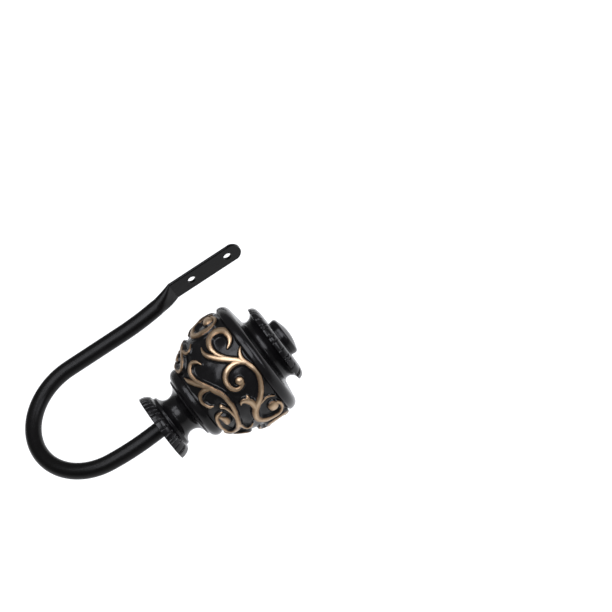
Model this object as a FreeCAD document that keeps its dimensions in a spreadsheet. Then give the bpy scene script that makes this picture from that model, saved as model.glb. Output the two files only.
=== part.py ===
import FreeCAD, Part
import math
import os

import Sketcher
from FreeCAD import Placement, Rotation, Vector

# Curtain holdback: a bent steel tube that is pressed flat into a screw tab at its wall end and
# carries a cast urn finial at its room end. Millimetres and degrees.
# The wall is the plane y = 0 and the room is towards -y. The origin is midway between the two screw
# holes, on the tab's back face. The tab points along +x, the bend is towards -x and +z is up. The
# front leg leaves the bend splayed outwards and curves back, so that the finial toes in to the wall.

HOOK_SIZES = [
    ("tube_diameter", 10),
    ("tube_wall", 1),
    ("bend_radius", 39),
    ("back_leg_length", 37.5),
    ("splay_angle", 5.7),
    ("front_curve_radius", 150),
    ("toe_in_angle", 4.8),
    ("straight_margin", 2),
    ("sweep_radius", 150),
    ("sweep_angle", 10),
    ("flatten_length", 14),
    ("oval_to_tab", 6),
    ("oval_width", 12.4),
    ("oval_thickness", 6.5),
    ("wall_gap", 0.3),
    ("tab_width", 14.5),
    ("tab_thickness", 2),
    ("slit_height", 0.3),
    ("fold_split_angle", 45),
    ("screw_hole_diameter", 5.2),
    ("screw_spacing", 25.5),
    ("root_to_hole", 13.1),
    ("hole_to_tip", 9),
    ("trim_margin", 3),
]

JOINT_SIZES = [
    ("socket_depth", 8),
    ("socket_clearance", 0.15),
    ("insert_length", 14),
    ("insert_clearance", 0.05),
    ("stud_diameter", 5),
    ("stud_in_finial", 16),
    ("thread_clearance", 0.05),
    ("end_chamfer", 0.5),
]

FLUTE_SIZES = [
    ("flange_flute_count", 36),
    ("flange_flute_width", 0.8),
    ("flange_flute_depth", 0.6),
    ("disc_flute_count", 36),
    ("disc_flute_width", 1),
    ("disc_flute_depth", 0.7),
    ("flute_overcut", 2),
]

# The finial's outline from its back edge to its tip: the name of each corner, its radius, its rise
# above the corner before it, and the line that leads to it. An arc's centre is level with the corner
# where the arc starts or ends, so that the arc is upright there.
LINE = "line"
ARC_UPRIGHT_AT_START = "arc upright at start"
ARC_UPRIGHT_AT_END = "arc upright at end"
DOME = "dome on the axis"
OUTLINE = [
    ("flange_edge", 21.3, 0, None),
    ("flange_top", 18.5, 6.3, ARC_UPRIGHT_AT_START),
    ("foot_base", 16.5, 0.6, LINE),
    ("foot_top", 16.1, 1.8, ARC_UPRIGHT_AT_START),
    ("neck", 11.6, 5.2, ARC_UPRIGHT_AT_END),
    ("collar_base", 18.7, 6.5, ARC_UPRIGHT_AT_START),
    ("collar_top", 18.9, 1.2, LINE),
    ("bead_crest", 23.2, 4.7, ARC_UPRIGHT_AT_END),
    ("bead_top", 22.4, 1.9, ARC_UPRIGHT_AT_START),
    ("belly", 35.8, 31.8, ARC_UPRIGHT_AT_END),
    ("urn_top", 35.0, 7.0, ARC_UPRIGHT_AT_START),
    ("shoulder_edge", 35.9, 0.3, LINE),
    ("shoulder_crest", 36.5, 1.3, ARC_UPRIGHT_AT_END),
    ("shoulder_top", 31.0, 5.4, ARC_UPRIGHT_AT_START),
    ("cove_foot", 22.6, 1.3, LINE),
    ("cove_neck", 20.1, 2.4, ARC_UPRIGHT_AT_END),
    ("disc_edge", 25.3, 4.6, ARC_UPRIGHT_AT_START),
    ("disc_top", 22.1, 4.3, ARC_UPRIGHT_AT_START),
    ("disc_chamfer", 19.8, 0.6, LINE),
    ("button_foot", 11.3, 0.2, LINE),
    ("button_side", 11.7, 2.6, LINE),
    ("button_edge", 9.5, 2.1, ARC_UPRIGHT_AT_START),
    ("tip", 0, 1.9, DOME),
]
CORNERS = [name for name, _, _, _ in OUTLINE]

SIZES = HOOK_SIZES + JOINT_SIZES + FLUTE_SIZES
SIZES += [(f"{name}_radius", radius) for name, radius, _, _ in OUTLINE if radius]
SIZES += [(f"{name}_rise", rise) for name, _, rise, _ in OUTLINE if rise]
SIZE = dict(SIZES)

# Places that several pieces share, bound to the sheet of sizes.
TAB_ROOT_X = "-(dims.screw_spacing / 2 + dims.root_to_hole)"
TAB_MIDDLE_Y = "-dims.tab_thickness / 2"
OVAL_X = f"{TAB_ROOT_X} - dims.oval_to_tab"
OVAL_MIDDLE_Y = "-(dims.oval_thickness / 2 + dims.wall_gap / 2)"
ROUND_END_X = f"{TAB_ROOT_X} - dims.flatten_length"
ROUND_END_Y = "-(dims.tube_diameter / 2 * cos(dims.sweep_angle * 1deg) + dims.wall_gap)"
BEND_X = f"{ROUND_END_X} - dims.sweep_radius * sin(dims.sweep_angle * 1deg) - dims.back_leg_length"
LEG_Y = f"{ROUND_END_Y} - dims.sweep_radius * (1 - cos(dims.sweep_angle * 1deg))"
SPLAY = "(dims.splay_angle * 1deg)"
TOE_IN = "(dims.toe_in_angle * 1deg)"
BEND_FRONT_X = f"{BEND_X} - dims.bend_radius * sin{SPLAY}"
BEND_FRONT_Y = f"{LEG_Y} - dims.bend_radius * (1 + cos{SPLAY})"
CURVE_END_X = f"{BEND_FRONT_X} + dims.front_curve_radius * (sin{SPLAY} + sin{TOE_IN})"
CURVE_END_Y = f"{BEND_FRONT_Y} + dims.front_curve_radius * (cos{SPLAY} - cos{TOE_IN})"
TUBE_BORE = "(dims.tube_diameter - 2 * dims.tube_wall)"
STRAIGHT_END = "(dims.insert_length + dims.straight_margin)"
FINIAL_BACK = "0"
TUBE_END = "dims.socket_depth"
INSERT_START = "dims.socket_depth - dims.insert_length"

START, END, CENTRE = 1, 2, 3
ORIGIN = (-1, 1)
VERTICAL_AXIS = -2


def make_sheet(doc):
    """The spreadsheet of driving dimensions, one named cell each."""
    sheet = doc.addObject("Spreadsheet::Sheet", "dims")
    for row, (alias, value) in enumerate(SIZES, start=1):
        sheet.set(f"A{row}", alias)
        sheet.set(f"B{row}", str(value))
        sheet.setAlias(f"B{row}", alias)
    doc.recompute()


def make_body(doc, label):
    body = doc.addObject("PartDesign::Body", label)
    body.Label = label
    return body


def make_sketch(body, name, plane_role):
    """A sketch on one of its body's own origin planes."""
    sketch = body.newObject("Sketcher::SketchObject", name)
    plane = next(item for item in body.Origin.OriginFeatures if item.Role == plane_role)
    sketch.AttachmentSupport = [(plane, "")]
    sketch.MapMode = "FlatFace"
    return sketch


def point(x, y):
    return Vector(x, y, 0)


def bind(sketch, name, expression, constraint):
    """Add a sized constraint and tie it to the sheet."""
    index = sketch.addConstraint(constraint)
    sketch.renameConstraint(index, name)
    sketch.setExpression(f"Constraints.{name}", expression)


def bind_radius(sketch, name, expression, curve):
    radius = sketch.Geometry[curve].Radius
    bind(sketch, name, expression, Sketcher.Constraint("Radius", curve, radius))


def bind_length(sketch, name, expression, edge):
    length = sketch.Geometry[edge].length()
    bind(sketch, name, expression, Sketcher.Constraint("Distance", edge, length))


def bind_across(sketch, name, expression, first, second):
    """Size the sideways step from one point to another, each given as (geometry, end)."""
    step = sketch.getPoint(*second).x - sketch.getPoint(*first).x
    bind(sketch, name, expression, Sketcher.Constraint("DistanceX", *first, *second, step))


def bind_up(sketch, name, expression, first, second):
    """Size the upward step from one point to another, each given as (geometry, end)."""
    step = sketch.getPoint(*second).y - sketch.getPoint(*first).y
    bind(sketch, name, expression, Sketcher.Constraint("DistanceY", *first, *second, step))


def bind_place(sketch, name, x_expression, y_expression, where):
    """Hold a point at a place measured from the sketch's origin."""
    bind_across(sketch, f"{name}_x", x_expression, ORIGIN, where)
    bind_up(sketch, f"{name}_y", y_expression, ORIGIN, where)


def relate(sketch, kind, *where):
    sketch.addConstraint(Sketcher.Constraint(kind, *where))


def close_ring(sketch, edges, kind):
    """Join each edge's end to the next one's start, all the way round."""
    for edge, following in zip(edges, edges[1:] + edges[:1]):
        relate(sketch, kind, edge, END, following, START)


def add_polyline(sketch, points):
    return [sketch.addGeometry(Part.LineSegment(a, b)) for a, b in zip(points, points[1:])]


def add_circle(sketch, name, diameter_expression, x_expression=None):
    """A circle at the sketch's origin, or on its x axis at the place given."""
    circle = sketch.addGeometry(Part.Circle(point(0, 0), Vector(0, 0, 1), SIZE["tube_diameter"] / 2))
    if x_expression:
        bind_place(sketch, f"{name}_centre", x_expression, "0", (circle, CENTRE))
    else:
        relate(sketch, "Coincident", circle, CENTRE, *ORIGIN)
    bind_radius(sketch, name, f"({diameter_expression}) / 2", circle)


def place_across_tube(sketch, x_expression, y_expression, turn_expression="0"):
    """Set an upright cross section at a point of the tube's line, turned to face along it."""
    sketch.AttachmentOffset = Placement(Vector(0, 0, 0), Rotation(Vector(0, 1, 0), 0))
    sketch.setExpression("AttachmentOffset.Base.x", y_expression)
    sketch.setExpression("AttachmentOffset.Base.z", x_expression)
    sketch.setExpression("AttachmentOffset.Rotation.Angle", turn_expression)


def on_finial_axis(along_expression):
    """The place on the finial's axis at a distance from its back face, as x and y expressions."""
    distance = f"({STRAIGHT_END} - dims.socket_depth + {along_expression})"
    return f"{CURVE_END_X} + {distance} * cos{TOE_IN}", f"{CURVE_END_Y} + {distance} * sin{TOE_IN}"


def heading(angle):
    return point(math.cos(angle), math.sin(angle))


def left_of(angle):
    return point(-math.sin(angle), math.cos(angle))


def arc_onwards(start, radius, angle, end_angle):
    """The middle and end of an arc that turns left from one heading to another."""
    centre = start + left_of(angle) * radius
    return centre - left_of((angle + end_angle) / 2) * radius, centre - left_of(end_angle) * radius


def tube_line(body):
    """The tube's centre line: straight end, curved front leg, bend, back leg and the sweep to the wall."""
    sweep_angle = math.radians(SIZE["sweep_angle"])
    splay = math.radians(SIZE["splay_angle"])
    toe_in = math.radians(SIZE["toe_in_angle"])
    round_end = point(-SIZE["screw_spacing"] / 2 - SIZE["root_to_hole"] - SIZE["flatten_length"],
                      -SIZE["tube_diameter"] / 2 * math.cos(sweep_angle) - SIZE["wall_gap"])
    sweep_start = round_end - point(math.sin(sweep_angle), 1 - math.cos(sweep_angle)) * SIZE["sweep_radius"]
    sweep_middle, _ = arc_onwards(sweep_start, SIZE["sweep_radius"], 0, sweep_angle)
    bend_back = sweep_start - point(SIZE["back_leg_length"], 0)
    bend_middle, bend_front = arc_onwards(bend_back, SIZE["bend_radius"], math.pi, 2 * math.pi - splay)
    curve_middle, curve_end = arc_onwards(bend_front, SIZE["front_curve_radius"], -splay, toe_in)
    tube_end = curve_end + heading(toe_in) * (SIZE["insert_length"] + SIZE["straight_margin"])

    sketch = make_sketch(body, "tube_line", "XY_Plane")
    straight_end = sketch.addGeometry(Part.LineSegment(tube_end, curve_end))
    front_curve = sketch.addGeometry(Part.Arc(bend_front, curve_middle, curve_end))
    bend = sketch.addGeometry(Part.Arc(bend_back, bend_middle, bend_front))
    back_leg = sketch.addGeometry(Part.LineSegment(bend_back, sweep_start))
    sweep = sketch.addGeometry(Part.Arc(sweep_start, sweep_middle, round_end))
    relate(sketch, "Tangent", straight_end, END, front_curve, END)
    relate(sketch, "Tangent", front_curve, START, bend, END)
    relate(sketch, "Tangent", bend, START, back_leg, START)
    relate(sketch, "Tangent", back_leg, END, sweep, START)
    relate(sketch, "Horizontal", back_leg)
    bind_place(sketch, "round_end", ROUND_END_X, ROUND_END_Y, (sweep, END))
    bind_up(sketch, "leg_offset", f"{LEG_Y} - ({ROUND_END_Y})", (sweep, END), (sweep, START))
    bind_radius(sketch, "bend_radius", "dims.bend_radius", bend)
    bind_radius(sketch, "sweep_radius", "dims.sweep_radius", sweep)
    bind_length(sketch, "back_leg", "dims.back_leg_length", back_leg)
    bind_length(sketch, "straight_end", STRAIGHT_END, straight_end)
    bind_radius(sketch, "front_curve_radius", "dims.front_curve_radius", front_curve)
    bind_across(sketch, "splay", f"-dims.bend_radius * sin{SPLAY}", (bend, CENTRE), (bend, END))
    bind_across(sketch, "toe_in", f"dims.front_curve_radius * sin{TOE_IN}",
                (front_curve, CENTRE), (front_curve, END))
    return sketch


def round_section(body, name, diameter_expression):
    """A circle in four arcs, split where the flattened section has its folds."""
    radius = SIZE["tube_diameter"] / 2
    split = math.radians(SIZE["fold_split_angle"])
    near = radius * math.sin(split)
    far = radius * math.cos(split)
    corners = [point(near, far), point(-near, far), point(-near, -far), point(near, -far)]
    crests = [point(0, radius), point(-radius, 0), point(0, -radius), point(radius, 0)]

    sketch = make_sketch(body, name, "YZ_Plane")
    arcs = []
    for corner, crest, following in zip(corners, crests, corners[1:] + corners[:1]):
        arcs.append(sketch.addGeometry(Part.Arc(corner, crest, following)))
    close_ring(sketch, arcs, "Coincident")
    across = f"{diameter_expression} / 2 * sin(dims.fold_split_angle * 1deg)"
    for index, arc in enumerate(arcs):
        relate(sketch, "Coincident", arc, CENTRE, *ORIGIN)
        side = "-" if corners[index].x < 0 else ""
        bind_across(sketch, f"corner_{index}", f"{side}{across}", ORIGIN, (arc, START))
    bind_radius(sketch, "radius", f"{diameter_expression} / 2", arcs[0])
    place_across_tube(sketch, ROUND_END_X, ROUND_END_Y, "dims.sweep_angle * 1deg")
    return sketch


def pressed_section(body, name, width_expression, height_expression, x_expression, y_expression):
    """The tube pressed flat, or nearly so: two straight walls joined by half-round folds."""
    half = SIZE["tab_thickness"] / 2
    fold = SIZE["tab_width"] / 2 - half
    crest = SIZE["tab_width"] / 2
    sketch = make_sketch(body, name, "YZ_Plane")
    upper_fold = sketch.addGeometry(Part.Arc(point(half, fold), point(0, crest), point(-half, fold)))
    room_wall = sketch.addGeometry(Part.LineSegment(point(-half, fold), point(-half, -fold)))
    lower_fold = sketch.addGeometry(Part.Arc(point(-half, -fold), point(0, -crest), point(half, -fold)))
    back_wall = sketch.addGeometry(Part.LineSegment(point(half, -fold), point(half, fold)))
    close_ring(sketch, [upper_fold, room_wall, lower_fold, back_wall], "Tangent")
    relate(sketch, "PointOnObject", upper_fold, CENTRE, VERTICAL_AXIS)
    relate(sketch, "Symmetric", upper_fold, CENTRE, lower_fold, CENTRE, *ORIGIN)
    relate(sketch, "Vertical", room_wall)
    bind_radius(sketch, "fold_radius", f"{height_expression} / 2", upper_fold)
    bind_up(sketch, "fold_spacing", f"{width_expression} - {height_expression}",
            (lower_fold, CENTRE), (upper_fold, CENTRE))
    place_across_tube(sketch, x_expression, y_expression)
    return sketch


def tab_trim(body):
    """The waste outside the tab's round tip."""
    side = SIZE["tab_width"] / 2
    margin = SIZE["trim_margin"]
    middle = SIZE["screw_spacing"] / 2 + SIZE["hole_to_tip"] - side
    top = side + margin
    beyond = middle + side + margin
    sketch = make_sketch(body, "tab_trim", "XZ_Plane")
    tip = sketch.addGeometry(Part.Arc(point(middle, -side), point(middle + side, 0), point(middle, side)))
    upper, over, outer, under, lower = add_polyline(sketch, [
        point(middle, side), point(middle, top), point(beyond, top),
        point(beyond, -top), point(middle, -top), point(middle, -side)])
    close_ring(sketch, [tip, upper, over, outer, under, lower], "Coincident")
    for upright in (upper, outer, lower):
        relate(sketch, "Vertical", upright)
    for level in (over, under):
        relate(sketch, "Horizontal", level)
    relate(sketch, "Vertical", tip, START, tip, CENTRE)
    relate(sketch, "Vertical", tip, END, tip, CENTRE)
    bind_place(sketch, "tip_centre", "dims.screw_spacing / 2 + dims.hole_to_tip - dims.tab_width / 2", "0",
               (tip, CENTRE))
    bind_radius(sketch, "tip_radius", "dims.tab_width / 2", tip)
    bind_length(sketch, "above", "dims.trim_margin", upper)
    bind_length(sketch, "below", "dims.trim_margin", lower)
    bind_length(sketch, "beyond", "dims.tab_width / 2 + dims.trim_margin", over)
    return sketch


def cut_through(doc, body, name, sketch):
    """A pocket through everything on both sides of its sketch."""
    pocket = body.newObject("PartDesign::Pocket", name)
    pocket.Profile = sketch
    pocket.Type = "ThroughAll"
    pocket.SideType = "Symmetric"
    doc.recompute()


def make_hook_arm(doc):
    """One length of round tube, bent to a hook and pressed flat at its wall end."""
    body = make_body(doc, "hook_arm")
    path = tube_line(body)
    section = make_sketch(body, "tube_section", "YZ_Plane")
    add_circle(section, "outside", "dims.tube_diameter")
    add_circle(section, "bore", TUBE_BORE)
    place_across_tube(section, *on_finial_axis(TUBE_END), TOE_IN)
    doc.recompute()
    tube = body.newObject("PartDesign::AdditivePipe", "bent_tube")
    tube.Profile = section
    tube.Spine = (path, ["Edge1", "Edge2", "Edge3", "Edge4", "Edge5"])
    doc.recompute()

    # The tube goes from round over oval to flat, and about keeps its girth.
    flattening = body.newObject("PartDesign::AdditiveLoft", "flattening")
    oval_outside = pressed_section(body, "oval_outside", "dims.oval_width", "dims.oval_thickness",
                                   OVAL_X, OVAL_MIDDLE_Y)
    flat_outside = pressed_section(body, "flat_outside", "dims.tab_width", "dims.tab_thickness",
                                   TAB_ROOT_X, TAB_MIDDLE_Y)
    flattening.Profile = round_section(body, "round_outside", "dims.tube_diameter")
    flattening.Sections = [oval_outside, flat_outside]
    doc.recompute()
    tab = body.newObject("PartDesign::Pad", "tab")
    tab.Profile = flat_outside
    tab.setExpression("Length", "dims.root_to_hole + dims.screw_spacing + dims.hole_to_tip")
    doc.recompute()

    # The bore narrows to a slit as the walls close, and the tab beyond it is two walls pressed together.
    closing_bore = body.newObject("PartDesign::SubtractiveLoft", "closing_bore")
    closing_bore.Profile = round_section(body, "round_inside", TUBE_BORE)
    oval_inside = pressed_section(body, "oval_inside", "(dims.oval_width - 2 * dims.tube_wall)",
                                  "(dims.oval_thickness - 2 * dims.tube_wall)", OVAL_X, OVAL_MIDDLE_Y)
    flat_inside = pressed_section(body, "flat_inside", "(dims.tab_width - 2 * dims.tube_wall)",
                                  "dims.slit_height", TAB_ROOT_X, TAB_MIDDLE_Y)
    closing_bore.Sections = [oval_inside, flat_inside]
    doc.recompute()

    cut_through(doc, body, "round_tip", tab_trim(body))
    holes = make_sketch(body, "screw_holes", "XZ_Plane")
    add_circle(holes, "tip_hole", "dims.screw_hole_diameter", "dims.screw_spacing / 2")
    add_circle(holes, "root_hole", "dims.screw_hole_diameter", "-dims.screw_spacing / 2")
    cut_through(doc, body, "screw_clearance", holes)
    return body


def place_on_finial_axis(body, along_expression):
    """Turn a body's z axis along the finial's axis, and set its base from the finial's back face."""
    x, y = on_finial_axis(along_expression)
    turn = f"rotation(vector(-sin{TOE_IN}; cos{TOE_IN}; 0); 90deg)"
    body.setExpression("Placement", f"placement(vector({x}; {y}; 0); {turn})")


def widest_rims(shape):
    """The names of the widest circular edges of a turned shape."""
    circles = {f"Edge{index}": edge.Curve.Radius for index, edge in enumerate(shape.Edges, start=1)
               if isinstance(edge.Curve, Part.Circle)}
    widest = max(circles.values())
    return [name for name, radius in circles.items() if math.isclose(radius, widest)]


def make_turned_pin(doc, label, diameters, length_expression):
    """A plain round piece on the finial's axis, hollow if it has a second diameter, chamfered at its ends."""
    body = make_body(doc, label)
    section = make_sketch(body, f"{label}_section", "XY_Plane")
    for name, expression in diameters.items():
        add_circle(section, name, expression)
    pin = body.newObject("PartDesign::Pad", f"{label}_length")
    pin.Profile = section
    pin.setExpression("Length", length_expression)
    doc.recompute()
    ends = body.newObject("PartDesign::Chamfer", f"{label}_ends")
    ends.Base = (pin, widest_rims(pin.Shape))
    ends.setExpression("Size", "dims.end_chamfer")
    doc.recompute()
    place_on_finial_axis(body, INSERT_START)
    return body


def make_tube_insert(doc):
    """The tapped bush pressed into the tube's room end, flush with it."""
    diameters = {"outside": f"{TUBE_BORE} - 2 * dims.insert_clearance",
                 "bore": "dims.stud_diameter + 2 * dims.thread_clearance"}
    return make_turned_pin(doc, "tube_insert", diameters, "dims.insert_length")


def make_finial_stud(doc):
    """The stud cast into the finial, which screws into the tube's insert."""
    diameters = {"outside": "dims.stud_diameter"}
    return make_turned_pin(doc, "finial_stud", diameters, "dims.insert_length + dims.stud_in_finial")


def outline_arc(start, end, form):
    """An arc between two corners of the outline, with its centre where its form puts it."""
    if form == DOME:
        height = (end.y ** 2 - start.y ** 2 - start.x ** 2) / (2 * (end.y - start.y))
        centre = point(0, height)
    else:
        upright, other = (start, end) if form == ARC_UPRIGHT_AT_START else (end, start)
        rise = other.y - upright.y
        reach = (upright.x ** 2 - other.x ** 2 - rise ** 2) / (2 * (upright.x - other.x))
        centre = point(reach, upright.y)
    middle = (start - centre) + (end - centre)
    middle.Length = (start - centre).Length
    return Part.Arc(start, centre + middle, end)


def arc_ends(sketch, arc, start):
    """Which end of an arc lies at its first corner, since a sketched arc always runs anticlockwise."""
    if sketch.getPoint(arc, START).isEqual(start, 1e-6):
        return START, END
    return END, START


def outline_points():
    """The outline's corners as drawn."""
    points = []
    height = 0
    for _, radius, rise, _ in OUTLINE:
        height += rise
        points.append(point(radius, height))
    return points


def height_of(corner):
    """The expression for a corner's height above the finial's back face."""
    rises = [f"dims.{name}_rise" for name in CORNERS[1:CORNERS.index(corner) + 1]]
    return " + ".join(rises) or "0"


def finial_outline(body):
    """The finial's half section, closed along its back face and its axis."""
    points = outline_points()
    sketch = make_sketch(body, "outline", "XZ_Plane")
    back_face = sketch.addGeometry(Part.LineSegment(point(0, 0), points[0]))
    relate(sketch, "Coincident", back_face, START, *ORIGIN)
    relate(sketch, "Horizontal", back_face)
    bind_length(sketch, "flange_edge_radius", "dims.flange_edge_radius", back_face)

    last = (back_face, END)
    for (name, radius, _, form), start, end in zip(OUTLINE[1:], points, points[1:]):
        if form == LINE:
            edge = sketch.addGeometry(Part.LineSegment(start, end))
            near, far = START, END
        else:
            edge = sketch.addGeometry(outline_arc(start, end, form))
            near, far = arc_ends(sketch, edge, start)
        relate(sketch, "Coincident", *last, edge, near)
        if form == ARC_UPRIGHT_AT_START:
            relate(sketch, "Horizontal", edge, near, edge, CENTRE)
        elif form == ARC_UPRIGHT_AT_END:
            relate(sketch, "Horizontal", edge, far, edge, CENTRE)
        elif form == DOME:
            relate(sketch, "PointOnObject", edge, CENTRE, VERTICAL_AXIS)
        if radius:
            bind_across(sketch, f"{name}_radius", f"dims.{name}_radius", ORIGIN, (edge, far))
        else:
            relate(sketch, "PointOnObject", edge, far, VERTICAL_AXIS)
        bind_up(sketch, f"{name}_rise", f"dims.{name}_rise", (edge, near), (edge, far))
        last = (edge, far)

    axis = sketch.addGeometry(Part.LineSegment(points[-1], point(0, 0)))
    relate(sketch, "Coincident", *last, axis, START)
    relate(sketch, "Coincident", axis, END, *ORIGIN)
    return sketch


def blind_hole(doc, body, name, diameter_expression, depth_expression):
    """A round hole into the finial from its back face."""
    sketch = make_sketch(body, f"{name}_mouth", "XY_Plane")
    add_circle(sketch, "mouth", diameter_expression)
    hole = body.newObject("PartDesign::Pocket", name)
    hole.Profile = sketch
    hole.Reversed = True
    hole.setExpression("Length", depth_expression)
    doc.recompute()


def flute_section(body, rim):
    """One flute's waste: its floor follows the rim's rounded face at the flute's depth."""
    edge_corner, top_corner = f"{rim}_edge", f"{rim}_top"
    edge = outline_points()[CORNERS.index(edge_corner)]
    top = outline_points()[CORNERS.index(top_corner)]
    overcut = SIZE["flute_overcut"]
    depth = SIZE[f"{rim}_flute_depth"]

    sketch = make_sketch(body, f"{rim}_flute", "XZ_Plane")
    face = sketch.addGeometry(outline_arc(edge, top, ARC_UPRIGHT_AT_START), True)
    bind_place(sketch, "edge", f"dims.{edge_corner}_radius", height_of(edge_corner), (face, START))
    bind_place(sketch, "top", f"dims.{top_corner}_radius", height_of(top_corner), (face, END))
    relate(sketch, "Horizontal", face, START, face, CENTRE)

    centre = sketch.getPoint(face, CENTRE)
    outward = (top - centre).normalize()
    floor_edge = edge - point(depth, 0)
    floor_top = top - outward * depth
    above = top + outward * overcut
    outside = edge + point(overcut, 0)
    spoke = sketch.addGeometry(Part.LineSegment(centre, top), True)
    floor = sketch.addGeometry(outline_arc(floor_edge, floor_top, ARC_UPRIGHT_AT_START))
    over, roof, outer, under = add_polyline(sketch, [
        floor_top, above, point(outside.x, above.y), outside, floor_edge])
    close_ring(sketch, [floor, over, roof, outer, under], "Coincident")
    relate(sketch, "Coincident", spoke, START, face, CENTRE)
    relate(sketch, "Coincident", spoke, END, face, END)
    relate(sketch, "Coincident", floor, CENTRE, face, CENTRE)
    relate(sketch, "PointOnObject", floor, END, spoke)
    relate(sketch, "Parallel", spoke, over)
    relate(sketch, "Horizontal", roof)
    relate(sketch, "Vertical", outer)
    relate(sketch, "Horizontal", under)
    relate(sketch, "Horizontal", floor, START, floor, CENTRE)
    bind_across(sketch, "depth", f"dims.{rim}_flute_depth", (floor, START), (face, START))
    bind_across(sketch, "clear_of_edge", "dims.flute_overcut", (face, START), (outer, END))
    bind_length(sketch, "clear_of_top", f"dims.flute_overcut + dims.{rim}_flute_depth", over)
    return sketch


def flute_rim(doc, body, rim):
    """Cut a rim into lands with evenly spaced flutes."""
    sketch = flute_section(body, rim)
    doc.recompute()
    flute = body.newObject("PartDesign::Groove", f"{rim}_flute_cut")
    flute.Profile = sketch
    flute.ReferenceAxis = (sketch, ["V_Axis"])
    flute.Midplane = True
    flute.setExpression("Angle", f"2 * atan(dims.{rim}_flute_width / 2 / dims.{rim}_edge_radius)")
    doc.recompute()
    ring = body.newObject("PartDesign::PolarPattern", f"{rim}_flutes")
    ring.Originals = [flute]
    ring.Axis = (sketch, ["V_Axis"])
    ring.Angle = 360
    ring.setExpression("Occurrences", f"dims.{rim}_flute_count")
    body.Tip = ring
    doc.recompute()


def make_finial(doc):
    """The cast finial: flange, neck, bead, urn, shoulder, disc and button in one turned form."""
    body = make_body(doc, "finial")
    outline = finial_outline(body)
    doc.recompute()
    turned = body.newObject("PartDesign::Revolution", "turned_form")
    turned.Profile = outline
    turned.ReferenceAxis = (outline, ["V_Axis"])
    turned.Angle = 360
    doc.recompute()
    blind_hole(doc, body, "tube_socket", "dims.tube_diameter + 2 * dims.socket_clearance", "dims.socket_depth")
    blind_hole(doc, body, "stud_hole", "dims.stud_diameter", "dims.socket_depth + dims.stud_in_finial")
    flute_rim(doc, body, "flange")
    flute_rim(doc, body, "disc")
    place_on_finial_axis(body, FINIAL_BACK)
    return body


def check_document(doc):
    for item in doc.Objects:
        if "Invalid" in item.State or "Error" in item.State:
            raise RuntimeError(f"{item.Label} did not build: {item.State}")


def check_body(body):
    shape = body.Shape
    if shape.isNull() or not shape.isValid() or len(shape.Solids) != 1:
        raise RuntimeError(f"{body.Label} is not one valid solid")


def main():
    doc = FreeCAD.newDocument("curtain_holdback")
    make_sheet(doc)
    bodies = [make_hook_arm(doc), make_tube_insert(doc), make_finial_stud(doc), make_finial(doc)]
    doc.recompute()
    check_document(doc)
    for body in bodies:
        check_body(body)
    os.makedirs("parts", exist_ok=True)
    for body in bodies:
        body.Shape.exportStep(f"parts/{body.Label}.step")
        print(f"{body.Label}: {body.Shape.Volume:.1f} mm3")


main()
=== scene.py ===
import math

import bpy
import numpy as np
from mathutils import Matrix, Vector


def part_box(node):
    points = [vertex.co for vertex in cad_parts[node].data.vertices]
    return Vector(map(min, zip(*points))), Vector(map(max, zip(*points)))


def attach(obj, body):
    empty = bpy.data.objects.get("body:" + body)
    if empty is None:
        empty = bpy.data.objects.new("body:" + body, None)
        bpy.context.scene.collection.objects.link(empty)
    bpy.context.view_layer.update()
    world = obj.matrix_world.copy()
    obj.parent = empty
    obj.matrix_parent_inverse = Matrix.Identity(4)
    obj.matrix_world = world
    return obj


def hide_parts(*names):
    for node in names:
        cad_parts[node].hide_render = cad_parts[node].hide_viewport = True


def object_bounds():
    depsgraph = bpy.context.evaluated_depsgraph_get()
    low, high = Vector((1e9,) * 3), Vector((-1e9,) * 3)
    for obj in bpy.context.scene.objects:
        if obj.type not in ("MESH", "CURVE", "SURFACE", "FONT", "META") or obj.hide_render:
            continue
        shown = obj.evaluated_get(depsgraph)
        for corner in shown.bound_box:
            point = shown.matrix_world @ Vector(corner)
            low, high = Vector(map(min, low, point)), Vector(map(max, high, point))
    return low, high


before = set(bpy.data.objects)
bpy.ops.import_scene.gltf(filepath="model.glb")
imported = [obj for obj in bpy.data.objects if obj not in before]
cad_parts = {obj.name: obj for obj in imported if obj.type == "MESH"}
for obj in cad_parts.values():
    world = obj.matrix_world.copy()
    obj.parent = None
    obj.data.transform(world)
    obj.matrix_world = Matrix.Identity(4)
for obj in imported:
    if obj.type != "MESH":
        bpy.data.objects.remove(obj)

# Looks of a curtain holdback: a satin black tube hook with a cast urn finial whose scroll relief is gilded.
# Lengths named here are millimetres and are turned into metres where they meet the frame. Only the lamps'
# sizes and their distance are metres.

MM = 0.001


def corners_as_lists(box):
    return [[float(value) for value in corner] for corner in box]


CAD_BOX = corners_as_lists(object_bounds())

# Camera: the photograph's angle, its pixels for each millimetre, and the pixel that the aim point falls on.
PHOTO_PIXELS = 612
CAMERA_AZIMUTH = math.radians(6.404)
CAMERA_ELEVATION = math.radians(50.152)
CAMERA_ROLL = math.radians(-38.088)
CAMERA_DISTANCE = 2000.0
CAMERA_AIM = Vector((0.0, -45.0, 0.0))
PIXELS_PER_MM = 1.689
AIM_PIXEL = (237.176, 316.259)
SENSOR_WIDTH = 36.0
FARTHEST_SEEN = 100000.0

# The finial's sockets, as the frame has them.
SOCKET_RADIUS = 5.15
SOCKET_DEPTH = 8.0
STUD_HOLE_RADIUS = 2.5
STUD_HOLE_DEPTH = 24.0
INSERT_LENGTH = 14.0


def direction(azimuth, elevation):
    """A unit vector out from the object. An azimuth of zero is straight out into the room."""
    return Vector((
        math.sin(azimuth) * math.cos(elevation),
        -math.cos(azimuth) * math.cos(elevation),
        math.sin(elevation),
    ))


def middle_of(node):
    low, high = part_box(node)
    return (low + high) / 2


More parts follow.
